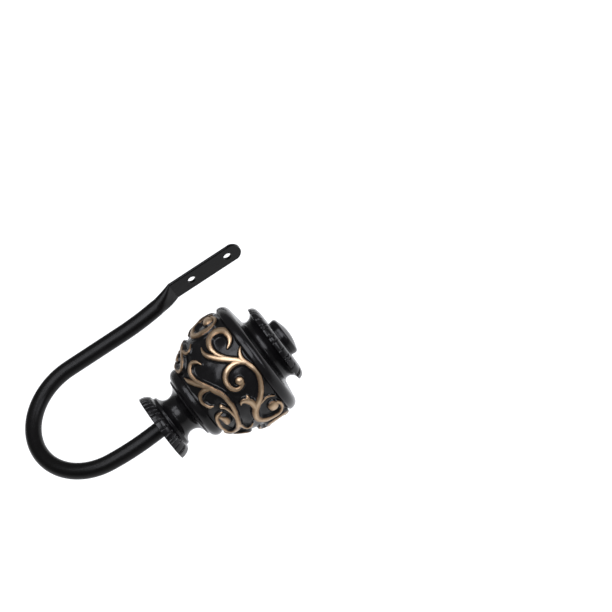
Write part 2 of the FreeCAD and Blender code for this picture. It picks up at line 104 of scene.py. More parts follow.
# The finial's axis runs through the insert in the tube's end and the stud. Heights run along it from the
# finial's back face, and turns go round it from the side that faces the camera.
AXIS = (middle_of("finial_stud") - middle_of("tube_insert")).normalized()
FINIAL_BASE = middle_of("tube_insert") - AXIS * (SOCKET_DEPTH - INSERT_LENGTH / 2) * MM
TO_CAMERA = direction(CAMERA_AZIMUTH, CAMERA_ELEVATION)
FACING = (TO_CAMERA - AXIS * TO_CAMERA.dot(AXIS)).normalized()
SIDEWAYS = AXIS.cross(FACING)

# The finial's turned outline from the back face to the tip. Each stretch has a name, the radius that it
# reaches, its rise and its form. A line is straight, a start arc leaves along the axis, an end arc arrives
# along the axis, and a dome ends on the axis.
FLANGE_RADIUS = 21.3
OUTLINE = (
    ("flange_top", 18.5, 6.3, "start_arc"),
    ("foot_base", 16.5, 0.6, "line"),
    ("foot_top", 16.1, 1.8, "start_arc"),
    ("neck", 11.6, 5.2, "end_arc"),
    ("collar_base", 18.7, 6.5, "start_arc"),
    ("collar_top", 18.9, 1.2, "line"),
    ("bead_crest", 23.2, 4.7, "end_arc"),
    ("bead_top", 22.4, 1.9, "start_arc"),
    ("belly", 35.8, 31.8, "end_arc"),
    ("urn_top", 35.0, 7.0, "start_arc"),
    ("shoulder_edge", 35.9, 0.3, "line"),
    ("shoulder_crest", 36.5, 1.3, "end_arc"),
    ("shoulder_top", 31.0, 5.4, "start_arc"),
    ("cove_foot", 22.6, 1.3, "line"),
    ("cove_neck", 20.1, 2.4, "end_arc"),
    ("disc_edge", 25.3, 4.6, "start_arc"),
    ("disc_top", 22.1, 4.3, "start_arc"),
    ("disc_chamfer", 19.8, 0.6, "line"),
    ("button_foot", 11.3, 0.2, "line"),
    ("button_side", 11.7, 2.6, "line"),
    ("button_edge", 9.5, 2.1, "start_arc"),
    ("tip", 0.0, 1.9, "dome"),
)

# How finely the outline is drawn, and how far its corners are eased: the easing's spread, and how many
# spreads it reaches.
OUTLINE_STEP = 0.05
FEWEST_STEPS = 4
EDGE_ROUNDING = 0.3
ROUNDING_REACH = 3

# How finely the finial is meshed. The carved urn and the two rims have more columns and closer rows than
# the plain stretches.
TURN_PER_ROW = math.radians(13)
PLAIN_COLUMNS = 128
CARVED_COLUMNS = 512
PLAIN_ROW_STEP = 1.6
CARVED_ROW_STEP = 0.37
RIM_ROW_STEP = 0.6

# Rings of the finial's back: their columns, which double outwards, how far the first ring of the back face
# lies outside the socket, and where the other two lie, as shares of the flange's radius.
STUD_HOLE_COLUMNS = 32
SOCKET_COLUMNS = 64
BACK_COLUMNS = 128
BACK_EDGE_COLUMNS = 256
SOCKET_MARGIN = 0.4
BACK_MIDDLE_SHARE = 0.6
BACK_EDGE_SHARE = 0.9

# Scroll relief, repeated around the urn by hand: each copy's turn in degrees and how much lower it sits.
SCROLL_COPIES = ((0, 0.0), (120, 0.6), (240, 1.4))
RELIEF_HEIGHT = 1.8
GROUND_SINK = 0.5
RELIEF_EDGE_FADE = 0.8

# A scroll stands out by a share of the full relief, which grows with its breadth. Across it, in shares of
# its half width, the top is domed up to the shoulder, and the side falls from there to the reach.
SCROLL_HALF_WIDTH = 1.6
SLIM_SHARE = 0.35
SHARE_PER_BREADTH = 0.55
SCROLL_CROWN = 0.3
SCROLL_SHOULDER = 0.65
SCROLL_REACH = 1.25

# Scrolls are sampled at this step, with a degree of turn taken as the same length all over the urn.
SCROLL_SAMPLE_STEP = 0.15
FEWEST_SAMPLES = 3
LENGTH_PER_DEGREE = 0.6

# Each point of a scroll is turn in degrees, height and relative breadth.
SCROLLS = {
    "upper_vine": (
        (-17.5, 66.6, 0.35), (-15, 65.2, 0.6), (-11, 63.75, 0.9), (-6, 63.4, 1.1), (0, 64.4, 1.25),
        (6, 65.5, 1.25), (11, 65.65, 1.25), (16, 64.9, 1.3), (22, 63.1, 1.35), (28, 60.7, 1.4),
        (33, 57.7, 1.5), (37, 54.8, 1.6), (41, 52.3, 1.7), (46, 50.6, 1.6), (52, 49.9, 1.5),
        (57.5, 50.6, 1.75), (61.5, 52.8, 1.9), (64.5, 56, 1.85), (65.6, 59.5, 1.5), (64.6, 62.8, 1.15),
        (60.5, 65, 0.9), (54.5, 65.5, 0.85), (49.5, 64.4, 0.85),
    ),
    "c_scroll": (
        (-23.5, 60.2, 0.35), (-25.5, 62.4, 0.75), (-29, 64.3, 1.1), (-34.5, 65.1, 1.5), (-40.5, 64.3, 1.8),
        (-44.5, 61.8, 1.95), (-45.6, 58.4, 1.9), (-43.6, 55.4, 1.75), (-39.2, 53.4, 1.5),
        (-34.8, 52.7, 1.3), (-31, 52.7, 1.1), (-25, 53.6, 0.95), (-19, 55.7, 0.9), (-14, 58, 0.8),
    ),
    "pointed_leaf": (
        (-43.5, 48.3, 0.3), (-37, 47.7, 0.8), (-31, 48.5, 1.15), (-25, 50.8, 1.35), (-19, 54, 1.4),
        (-13.5, 57.6, 1.35), (-8.5, 61, 1.3), (-3, 63.6, 1.2),
    ),
    "central_volute": (
        (-3.5, 62.8, 0.9), (-6.6, 60, 1.1), (-7.8, 56.5, 1.3), (-7, 53, 1.4), (-4, 50.1, 1.45),
        (0.5, 48.5, 1.4), (5.5, 48.2, 1.3), (10, 49.1, 1.15), (12.8, 51.1, 1), (12.9, 53.4, 0.9),
        (11.3, 55.4, 0.9),
    ),
    "hooked_leaf": (
        (41, 52.6, 1.3), (36, 53, 1.5), (31.5, 52.8, 1.65), (28, 51.6, 1.5), (25.8, 50, 1.2),
        (26.3, 48.2, 0.8), (28.5, 47.1, 0.4),
    ),
    "hooked_leaf_point": ((23.3, 53.1, 0.3), (26, 52.6, 0.9), (29.5, 52, 1.2)),
    "upper_tendril": ((38, 57, 0.6), (37, 60.5, 0.55), (38.5, 63.3, 0.5), (42, 65.6, 0.3)),
    "lower_vine": (
        (-29.5, 42.6, 0.4), (-33.5, 41.9, 0.7), (-37.5, 40.4, 1.05), (-39.4, 38.5, 1.2),
        (-37.5, 36.3, 1.2), (-32.5, 34.9, 1.15), (-26, 34.6, 1.1), (-20, 35.1, 1.1), (-14, 36.4, 1.15),
        (-8, 37.9, 1.25), (-2, 39.4, 1.4), (3, 40.8, 1.4), (8, 42, 1.35), (13, 42.7, 1.25),
        (19, 43, 1.2), (25, 43, 1.2), (31, 42.4, 1.2), (37, 41.5, 1.25), (43, 40.6, 1.3), (50, 39.6, 1.3),
        (56, 38.4, 1.3), (62, 36.9, 1.25), (67, 35.1, 1.2), (69, 33.2, 1.15), (65, 31.4, 1.1),
        (58, 30.4, 1.05), (51, 30.1, 1.05), (44, 30.4, 1.05), (37, 30.9, 1.05), (31.5, 31.9, 1),
        (28.3, 33.7, 0.8), (27.3, 35.6, 0.4),
    ),
    "lower_leaf": (
        (-40, 29.8, 0.3), (-33, 30.6, 0.85), (-26, 31.9, 1.2), (-18, 33.8, 1.3), (-12, 35.9, 1.25),
        (-6, 38.1, 1.2),
    ),
    "c_curl": (
        (-3.5, 38.3, 1), (-5.8, 35.5, 1.2), (-5.6, 33.2, 1.2), (-3, 31.3, 1.15), (2, 30.3, 1.05),
        (7, 30.3, 0.95), (11.5, 31, 0.85), (14.8, 32.3, 0.65), (15.8, 34, 0.35),
    ),
    "bulb_tendril": ((41, 40.4, 0.9), (35, 40.3, 0.85), (29, 39.9, 0.8), (24, 39, 0.8), (20.8, 37.8, 0.9)),
    "ring_tendril": (
        (50, 39.6, 0.9), (57, 40, 0.85), (62.5, 40.6, 0.85), (65.5, 42.1, 0.8), (64, 44.1, 0.65),
        (59.5, 45.9, 0.35),
    ),
    "lower_bud": ((33.5, 33.9, 1.3), (38.5, 35, 2.1), (43, 34.8, 1.6), (47, 34.2, 0.7)),
}

# Round bosses at the eyes of the scrolls: turn in degrees, height and radius. They stand out a little more
# than the full relief.
BOSSES = ((7.6, 54.8, 2.3), (49.4, 61.3, 2.8), (52.6, 61.4, 2.8), (20.3, 37.5, 1.3))
BOSS_SHARE = 1.08

# The ground between the scrolls is slightly wavy, as if finished by hand: the seed, how many sets of waves
# are added up, their height, the range of their pitch up the urn, and the most that a set has around it.
GROUND_SEED = 5
GROUND_WAVES = 9
GROUND_WAVE_HEIGHT = 0.13
GROUND_WAVE_PITCH = (7.0, 16.0)
GROUND_WAVES_ROUND = 24

# Hand-cut notches around the two rims: seed, count, and the ranges of their half widths and depths. A notch
# is shifted by up to a share of the pitch, its bottom is flat over a share of its half width, and it runs
# out from a share of the rim's height upwards. The slack takes in a rim's first row.
RIM_NOTCHES = {
    "flange_top": {"seed": 7, "count": 34, "half_width": (0.35, 0.55)},
    "disc_top": {"seed": 11, "count": 31, "half_width": (0.45, 0.85)},
}
NOTCH_DEPTH = (0.6, 1.1)
NOTCH_JITTER = 0.36
NOTCH_FLAT = 0.35
NOTCH_RUN_OUT = 0.8
ROW_SLACK = 0.01

# Finishes. Tones are screen colours from 0 to 255. Where two are given, the surface varies between them.
COAT_TONES = ((7, 7, 7), (11, 10, 10))
COAT_ROUGHNESS = (0.3, 0.38)
COAT_SPECULAR = 0.12
STEEL_TONES = ((150, 150, 152), (190, 190, 192))
STEEL_ROUGHNESS = (0.25, 0.42)
STEEL_GRAIN = (9000.0, 200.0, 200.0)
RESIN_TONES = ((8, 8, 9), (14, 13, 14))
RESIN_ROUGHNESS = 0.2
RESIN_SPECULAR = 0.22

# Gold on the scrolls, by how near a point is to the crest: its tones, where it begins and is full, and how
# far small patches and broad ones shift that nearness either way. The tones are real antique gilding with
# painted shade, darkening to brown on the flanks, and a painted highlight, pale on the crests.
GOLD_TONES_WITH_PAINTED_SHADE = (
    (0.34, (52, 38, 28)),
    (0.48, (97, 76, 57)),
    (0.62, (129, 106, 83)),
    (0.8, (152, 129, 103)),
    (0.97, (177, 154, 128)),
)
GOLD_BEGINS = 0.38
GOLD_FULL = 0.48
SMALL_PATCH_SHIFT = 0.07
BROAD_PATCH_SHIFT = 0.12
GOLD_METALLIC = 0.85
GOLD_ROUGHNESS = 0.36
ROUGHNESS_SHIFT = (-0.04, 0.06)

# Nearly all values of a noise texture lie between these.
NOISE_LOW = 0.3
NOISE_HIGH = 0.7

# Stage and light. Angles are degrees, and a lamp's radiance of 1 is what a white pixel shows.
WHITE = (1.0, 1.0, 1.0, 1.0)
FLOOR_DROP = 260.0
FLOOR_SIZE = 12000.0
FLOOR_TONE = (190, 190, 190)
FLOOR_ROUGHNESS = 0.9
FLOOR_GLOW = 0.62
WORLD_LEVEL = 0.2
LAMP_COLOUR = (0.93, 0.94, 1.0)
SOFTBOX_DISTANCE = 1.3
SOFTBOXES = {
    "front": {"azimuth": 4, "elevation": 70, "roll": 0, "size": (1.6, 0.8), "radiance": 6.0},
    "overhead": {"azimuth": 180, "elevation": 82, "roll": 0, "size": (1.8, 0.4), "radiance": 5.5},
    "tip_side": {"azimuth": 72, "elevation": 32, "roll": 44, "size": (1.0, 0.4), "radiance": 6.5},
}


def srgb(red, green, blue):
    """A colour as seen on screen, from 0 to 255, as the linear values that a shader takes."""
    return tuple(linear(value / 255) for value in (red, green, blue)) + (1.0,)


def linear(value):
    """The standard screen curve, undone."""
    if value <= 0.04045:
        return value / 12.92
    return ((value + 0.055) / 1.055) ** 2.4


def smoothstep(low, high, value):
    share = np.clip((value - low) / (high - low), 0.0, 1.0)
    return share * share * (3.0 - 2.0 * share)


def add_object(name, data):
    thing = bpy.data.objects.new(name, data)
    bpy.context.scene.collection.objects.link(thing)
    return thing


# The finial's outline as a dense smooth line.


def stretch(start, end, form):
    """Points from start to end, each a (height, radius) pair, without the start itself."""
    height, radius = start
    end_height, end_radius = end
    rise = end_height - height
    widening = end_radius - radius
    count = max(FEWEST_STEPS, int(math.hypot(rise, widening) / OUTLINE_STEP))
    share = np.arange(1, count + 1) / count
    if form == "line":
        return np.column_stack((height + rise * share, radius + widening * share))
    if form == "dome":
        ball = (radius ** 2 + rise ** 2) / (2 * rise)
        angle = math.asin(radius / ball) * (1 - share)
        return np.column_stack((end_height - ball + ball * np.cos(angle), ball * np.sin(angle)))
    from_start = form == "start_arc"
    offset = (widening ** 2 + rise ** 2) / (2 * widening)
    if not from_start:
        offset = -offset
    centre = (radius if from_start else end_radius) + offset
    far_radius = end_radius if from_start else radius
    sweep = math.atan2(rise / abs(offset), (centre - far_radius) / offset)
    angle = sweep * (share if from_start else 1 - share)
    travel = abs(offset) * np.sin(angle)
    heights = height + travel if from_start else end_height - travel
    return np.column_stack((heights, centre - offset * np.cos(angle)))


def dense_outline():
    """The whole turned outline, and the heights between which each named stretch runs."""
    points = [np.array([[0.0, FLANGE_RADIUS]])]
    spans = {}
    height = 0.0
    radius = FLANGE_RADIUS
    for name, end_radius, rise, form in OUTLINE:
        spans[name] = (height, height + rise)
        points.append(stretch((height, radius), (height + rise, end_radius), form))
        height += rise
        radius = end_radius
    return np.vstack(points), spans


def round_corners(points):
    """The line with its corners eased, as cast edges are, and its two ends kept."""
    reach = int(ROUNDING_REACH * EDGE_ROUNDING / OUTLINE_STEP)
    offsets = np.arange(-reach, reach + 1) * OUTLINE_STEP
    weights = np.exp(-0.5 * (offsets / EDGE_ROUNDING) ** 2)
    weights /= weights.sum()
    before = 2 * points[0] - points[reach:0:-1]
    after = 2 * points[-1] - points[-2:-reach - 2:-1]
    padded = np.vstack((before, points, after))
    return np.column_stack([np.convolve(padded[:, axis], weights, "valid") for axis in (0, 1)])


def row_positions(line, steps):
    """Places along the line for the mesh's rows: close where it turns or is carved, and wide elsewhere."""
    moves = np.diff(line, axis=0)
    lengths = np.hypot(moves[:, 0], moves[:, 1])
    headings = np.unwrap(np.arctan2(moves[:, 1], moves[:, 0]))
    turns = np.abs(np.gradient(headings))
    density = np.maximum(lengths / steps[:-1], turns / TURN_PER_ROW)
    total = np.concatenate(([0.0], np.cumsum(density)))
    rows = int(math.ceil(total[-1]))
    return np.interp(np.linspace(0, total[-1], rows + 1), total, np.arange(len(line)))


class Profile:
    """The rows of the finial's skin from the back edge to the tip."""

    def __init__(self):
        outline, self.spans = dense_outline()
        line = round_corners(outline)
        self.urn = (self.spans["belly"][0], self.spans["urn_top"][1])
        carved_spans = [(self.urn, CARVED_ROW_STEP)]
        carved_spans += [(self.spans[name], RIM_ROW_STEP) for name in RIM_NOTCHES]
        heights = outline[:, 0]
        steps = np.full(len(line), PLAIN_ROW_STEP)
        carved = np.zeros(len(line), bool)
        for (low, high), step in carved_spans:
            inside = (heights >= low) & (heights <= high)
            steps[inside] = step
            carved |= inside
        places = row_positions(line, steps)
        index = np.arange(len(line))
        self.height = np.interp(places, index, line[:, 0])
        self.radius = np.interp(places, index, line[:, 1])
        tangent = np.gradient(line, axis=0)
        tangent /= np.linalg.norm(tangent, axis=1)[:, None]
        self.normal_height = np.interp(places, index, -tangent[:, 1])
        self.normal_radius = np.interp(places, index, tangent[:, 0])
        carved_rows = carved[np.round(places).astype(int)]
        self.columns = np.where(carved_rows, CARVED_COLUMNS, PLAIN_COLUMNS)
        self.ease_columns()

    def ease_columns(self):
        """Neighbouring rows differ at most twofold in columns, so that they can be stitched."""
        rows = len(self.columns)
        for row in range(1, rows):
            self.columns[row] = max(self.columns[row], self.columns[row - 1] // 2)
        for row in range(rows - 2, -1, -1):
            self.columns[row] = max(self.columns[row], self.columns[row + 1] // 2)


# Relief and notches as offsets of the skin along its normal.


def ring_turns(columns):
    """Evenly spaced turns around the axis, in radians."""
    return 2 * np.pi * np.arange(columns) / columns


def smooth_path(points):
    """A smooth curve through given points, sampled evenly, with the breadth along it."""
    points = np.array(points, float)
    padded = np.vstack((2 * points[0] - points[1], points, 2 * points[-1] - points[-2]))
    pieces = []
    for first in range(len(points) - 1):
        before, start, end, after = padded[first:first + 4]
        length = math.hypot((end[0] - start[0]) * LENGTH_PER_DEGREE, end[1] - start[1])
        samples = max(FEWEST_SAMPLES, int(length / SCROLL_SAMPLE_STEP))
        share = np.linspace(0, 1, samples, endpoint=False)[:, None]
        pieces.append(0.5 * (
            2 * start + (end - before) * share
            + (2 * before - 5 * start + 4 * end - after) * share ** 2
            + (3 * start - before - 3 * end + after) * share ** 3
        ))
    pieces.append(points[-1:])
    return np.vstack(pieces)


def ridge(distance_share):
    """A scroll's cross-section: domed on top, with steep sides."""
    top = 1.0 - SCROLL_CROWN * distance_share ** 2
    return top * (1.0 - smoothstep(SCROLL_SHOULDER, SCROLL_REACH, distance_share))


def flank(distance_share):
    """How near a point is to a scroll's crest: one on the crest, and nothing at the foot of its side."""
    return 1.0 - distance_share / SCROLL_REACH


def boss(distance_share):
    """A round knob's cross-section."""
    return np.sqrt(np.clip(1.0 - (distance_share / SCROLL_REACH) ** 2, 0.0, 1.0))


def wavy_ground(turn, height):
    """Gentle waves over the urn, which close around it."""
    dice = np.random.default_rng(GROUND_SEED)
    waves = np.zeros((len(height), len(turn)))
    for _ in range(GROUND_WAVES):
        around = dice.integers(-GROUND_WAVES_ROUND, GROUND_WAVES_ROUND + 1) * turn
        upward = 2 * np.pi * height / dice.uniform(*GROUND_WAVE_PITCH)
        waves += np.sin(around[None, :] + upward[:, None] + dice.uniform(0, 2 * np.pi))
    return waves * GROUND_WAVE_HEIGHT / math.sqrt(GROUND_WAVES)


class Relief:
    """How far the urn's skin stands off its turned form: scrolls raised on a sunk ground."""

    def __init__(self, profile):
        low, high = profile.urn
        inside = (profile.height > low) & (profile.height < high)
        self.rows = np.where(inside & (profile.columns == CARVED_COLUMNS))[0]
        self.height = profile.height[self.rows]
        self.radius = profile.radius[self.rows]
        steps = np.hypot(np.diff(self.height), np.diff(self.radius))
        self.travel = np.concatenate(([0.0], np.cumsum(steps)))
        self.raised = np.zeros((len(self.rows), CARVED_COLUMNS))
        self.gilt = np.zeros_like(self.raised)
        for start, drop in SCROLL_COPIES:
            self.add_copy(start, drop)
        ground = wavy_ground(ring_turns(CARVED_COLUMNS), self.height) - GROUND_SINK
        edge = np.minimum(self.height - low, high - self.height)
        fade = smoothstep(0.0, RELIEF_EDGE_FADE, edge)
        self.offset = (ground + self.raised) * fade[:, None]

    def add_copy(self, start, drop):
        """Raise all the scrolls and bosses once, turned to the start and lowered by the drop."""
        full = RELIEF_HEIGHT + GROUND_SINK
        for points in SCROLLS.values():
            for turn, height, breadth in smooth_path(points):
                proud = full * min(1.0, SLIM_SHARE + SHARE_PER_BREADTH * breadth)
                half_width = breadth * SCROLL_HALF_WIDTH
                self.press(start + turn, height - drop, half_width, proud, ridge, flank)
        for turn, height, radius in BOSSES:
            self.press(start + turn, height - drop, radius, full * BOSS_SHARE, boss, boss)

    def press(self, turn, height, half_width, proud, section, gilding):
        """Raise and gild the skin around one point, except where it is higher or more gilded already."""
        turn = math.radians(turn)
        reach = half_width * SCROLL_REACH
        along = self.travel - np.interp(height, self.height, self.travel)
        near = np.where(np.abs(along) < reach)[0]
        if len(near) == 0:
            return
        columns_per_turn = CARVED_COLUMNS / (2 * np.pi)
        columns_out = int(reach / self.radius[near].min() * columns_per_turn) + 1
        middle = int(round(turn * columns_per_turn))
        columns = np.arange(middle - columns_out, middle + columns_out + 1)
        across = np.outer(self.radius[near], columns / columns_per_turn - turn)
        distance_share = np.hypot(across, along[near][:, None]) / half_width
        window = np.ix_(near, columns % CARVED_COLUMNS)
        self.raised[window] = np.maximum(self.raised[window], proud * section(distance_share))
        self.gilt[window] = np.maximum(self.gilt[window], gilding(distance_share))


def notch_offsets(profile, name):
    """Cuts across a rim, uneven in place, width and depth, as if cut by hand. They run out at its top."""
    low, high = profile.spans[name]
    settings = RIM_NOTCHES[name]
    dice = np.random.default_rng(settings["seed"])
    count = settings["count"]
    pitch = 2 * np.pi / count
    places = (np.arange(count) + dice.uniform(-NOTCH_JITTER, NOTCH_JITTER, count)) * pitch
    depths = dice.uniform(*NOTCH_DEPTH, count)
    half_widths = dice.uniform(*settings["half_width"], count)
    inside = (profile.height >= low - ROW_SLACK) & (profile.height <= high)
    rows = np.where(inside & (profile.columns == CARVED_COLUMNS))[0]
    turn = ring_turns(CARVED_COLUMNS)
    offset = np.zeros((len(rows), CARVED_COLUMNS))
    for place, depth, half_width in zip(places, depths, half_widths):
        # The short way round, so that a notch can lie across the seam.
        away = np.angle(np.exp(1j * (turn - place)))
        arc = np.abs(away)[None, :] * profile.radius[rows][:, None]
        cut = depth * (1.0 - smoothstep(NOTCH_FLAT, 1.0, arc / half_width))
        offset = np.minimum(offset, -cut)
    rim_share = (profile.height[rows] - low) / (high - low)
    fade = 1.0 - smoothstep(NOTCH_RUN_OUT, 1.0, rim_share)
    return rows, offset * fade[:, None]


# The finial's mesh.


def skin_points(profile, row, offsets):
    """One ring of the skin in the frame, in metres."""
    radius = profile.radius[row] + profile.normal_radius[row] * offsets
    height = profile.height[row] + profile.normal_height[row] * offsets
    return ring_points(height, radius, ring_turns(profile.columns[row]))


def ring_points(height, radius, turn):
    """Points around the axis, for one height and radius or for one of each at every turn."""
    along = np.outer(np.broadcast_to(height, turn.shape), AXIS)
    sideways = np.outer(radius * np.sin(turn), SIDEWAYS)
    facing = np.outer(radius * np.cos(turn), FACING)
    return np.array(FINIAL_BASE) + MM * (along + sideways + facing)


class SkinMesh:
    """Gathers rings of points and the faces that join them."""

    def __init__(self):
        self.points = []
        self.gilt = []
        self.faces = []
        self.count = 0

    def add_ring(self, points, gilt):
        """Take in a ring and return the number of its first point and how many it has."""
        first = self.count
        self.points.append(points)
        self.gilt.append(np.broadcast_to(gilt, len(points)))
        self.count += len(points)
        return first, len(points)

    def join(self, lower, upper):
        """Faces between two rings that have as many columns, or one twice as many as the other."""
        first, columns = lower
        other, other_columns = upper
        if columns == other_columns:
            for column in range(columns):
                after = (column + 1) % columns
                self.faces.append((first + column, first + after, other + after, other + column))
            return
        flip = columns > other_columns
        coarse, coarse_columns = (other, other_columns) if flip else (first, columns)
        fine, fine_columns = (first, columns) if flip else (other, other_columns)
        for column in range(coarse_columns):
            here = coarse + column
            after = coarse + (column + 1) % coarse_columns
            left = fine + 2 * column
            middle = fine + 2 * column + 1
            right = fine + (2 * column + 2) % fine_columns
            for face in ((here, middle, left), (here, after, middle), (after, right, middle)):
                self.faces.append(face[::-1] if flip else face)

    def close(self, ring, height, outward):
        """A fan from a ring to one point on the axis."""
        first, columns = ring
        centre, _ = self.add_ring(ring_points(height, 0.0, np.zeros(1)), 0.0)
        for column in range(columns):
            after = (column + 1) % columns
            face = (first + column, first + after, centre)
            self.faces.append(face if outward else face[::-1])


def back_rings():
    """Rings of the finial's stud hole, tube socket and back face, from the hole's bottom outwards."""
    return (
        (STUD_HOLE_DEPTH, STUD_HOLE_RADIUS, STUD_HOLE_COLUMNS),
        (SOCKET_DEPTH, STUD_HOLE_RADIUS, STUD_HOLE_COLUMNS),
        (SOCKET_DEPTH, SOCKET_RADIUS, SOCKET_COLUMNS),
        (0.0, SOCKET_RADIUS, SOCKET_COLUMNS),
        (0.0, SOCKET_RADIUS + SOCKET_MARGIN, BACK_COLUMNS),
        (0.0, FLANGE_RADIUS * BACK_MIDDLE_SHARE, BACK_COLUMNS),
        (0.0, FLANGE_RADIUS * BACK_EDGE_SHARE, BACK_EDGE_COLUMNS),
    )


def carve(profile):
    """For each row of the skin, how far its points stand off the turned form and how gilded they are."""
    offsets = [np.zeros(columns) for columns in profile.columns]
    gilt = [np.zeros(columns) for columns in profile.columns]
    relief = Relief(profile)
    for place, row in enumerate(relief.rows):
        offsets[row] = relief.offset[place]
        gilt[row] = relief.gilt[place]
    for name in RIM_NOTCHES:
        rows, cuts = notch_offsets(profile, name)
        for place, row in enumerate(rows):
            offsets[row] = cuts[place]
    return offsets, gilt


def finial_skin():
    """The finial's closed skin, from the bottom of the stud hole over the back face to the tip."""
    profile = Profile()
    offsets, gilt = carve(profile)
    skin = SkinMesh()
    below = None
    for height, radius, columns in back_rings():
        ring = skin.add_ring(ring_points(height, radius, ring_turns(columns)), 0.0)
        if below is None:
            skin.close(ring, height, outward=False)
        else:
            skin.join(below, ring)
        below = ring
    for row in range(len(profile.height) - 1):
        ring = skin.add_ring(skin_points(profile, row, offsets[row]), gilt[row])
        skin.join(below, ring)
        below = ring
    skin.close(below, profile.height[-1], outward=True)
    return skin


def build_finial():
    skin = finial_skin()
    mesh = bpy.data.meshes.new("urn_finial")
    mesh.from_pydata(np.vstack(skin.points).tolist(), [], skin.faces)
    mesh.polygons.foreach_set("use_smooth", [True] * len(mesh.polygons))
    gilt = mesh.attributes.new("gilt", "FLOAT", "POINT")
    gilt.data.foreach_set("value", np.concatenate(skin.gilt))
    mesh.validate()
    mesh.update()
    finial = add_object("urn_finial", mesh)
    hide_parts("finial")
    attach(finial, "root")
    return finial


# Materials.


class Nodes:
    """A material's node tree, with short calls to add and join nodes."""

    def __init__(self, name):
        self.material = bpy.data.materials.new(name)
        self.material.use_nodes = True
        self.tree = self.material.node_tree
        self.shader = self.tree.nodes["Principled BSDF"]

    def add(self, kind, **inputs):
        node = self.tree.nodes.new(kind)
        for name, value in inputs.items():
            self.feed(node.inputs[name.replace("_", " ")], value)
        return node

    def feed(self, socket, value):
        """Give a socket a value of its own, or link it to another node's output."""
        if isinstance(value, bpy.types.NodeSocket):
            self.tree.links.new(value, socket)
        else:
            socket.default_value = value

    def surface(self, name, value):
        """Set one of the shader's own inputs."""
        self.feed(self.shader.inputs[name], value)

    def place(self):
        """Where a point of the surface lies on its object."""
        return self.add("ShaderNodeTexCoord").outputs["Object"]

    def stretched_place(self, scale):
        return self.add("ShaderNodeMapping", Vector=self.place(), Scale=scale).outputs["Vector"]

    def noise(self, scale, detail=3.0, roughness=0.5, place=None):
        node = self.add("ShaderNodeTexNoise", Vector=place or self.place(), Scale=scale, Detail=detail,
                        Roughness=roughness)
        return node.outputs["Fac"]

    def span(self, value, low, high, to_low, to_high):
        node = self.add("ShaderNodeMapRange", Value=value, From_Min=low, From_Max=high, To_Min=to_low,
                        To_Max=to_high)
        return node.outputs["Result"]

    def vary(self, noise, low, high):
        """A noise brought to run from low to high."""
        return self.span(noise, NOISE_LOW, NOISE_HIGH, low, high)

    def math(self, operation, first, second):
        node = self.add("ShaderNodeMath")
        node.operation = operation
        self.feed(node.inputs[0], first)
        self.feed(node.inputs[1], second)
        return node.outputs[0]

    def ramp(self, value, stops):
        """Colours by value, from (position, tone) pairs."""
        node = self.add("ShaderNodeValToRGB", Fac=value)
        elements = node.color_ramp.elements
        for position, _ in stops[len(elements):]:
            elements.new(position)
        for element, (position, tone) in zip(elements, stops):
            element.position = position
            element.color = srgb(*tone)
        return node.outputs["Color"]

    def mottle(self, noise, tones):
        """Colours that vary between two tones with a noise."""
        return self.ramp(noise, tuple(zip((NOISE_LOW, NOISE_HIGH), tones)))

    def mix(self, share, first, second):
        node = self.add("ShaderNodeMix")
        node.data_type = "RGBA"
        self.feed(node.inputs["Factor"], share)
        colours = [socket for socket in node.inputs if socket.type == "RGBA"]
        self.feed(colours[0], first)
        self.feed(colours[1], second)
        return next(socket for socket in node.outputs if socket.type == "RGBA")

    def bump(self, height, distance, strength):
        """Fine relief of the surface. The distance is in millimetres."""
        node = self.add("ShaderNodeBump", Height=height, Distance=distance * MM, Strength=strength)
        self.surface("Normal", node.outputs["Normal"])


def black_coat():
    """Satin black coating on the steel tube, with a fine orange-peel surface."""
    nodes = Nodes("black_coat")
    nodes.surface("Base Color", nodes.mottle(nodes.noise(scale=60.0, detail=4.0), COAT_TONES))
    nodes.surface("Roughness", nodes.vary(nodes.noise(scale=300.0), *COAT_ROUGHNESS))
    nodes.surface("Specular IOR Level", COAT_SPECULAR)
    nodes.bump(nodes.noise(scale=1600.0, detail=2.0), distance=0.06, strength=0.35)
    return nodes.material


def plain_steel():
    """Turned bright steel of the hidden insert and stud."""
    nodes = Nodes("plain_steel")
    rings = nodes.noise(scale=1.0, place=nodes.stretched_place(STEEL_GRAIN))
    nodes.surface("Base Color", nodes.mottle(rings, STEEL_TONES))
    nodes.surface("Metallic", 1.0)
    nodes.surface("Roughness", nodes.vary(rings, *STEEL_ROUGHNESS))
    nodes.bump(rings, distance=0.04, strength=0.4)
    return nodes.material


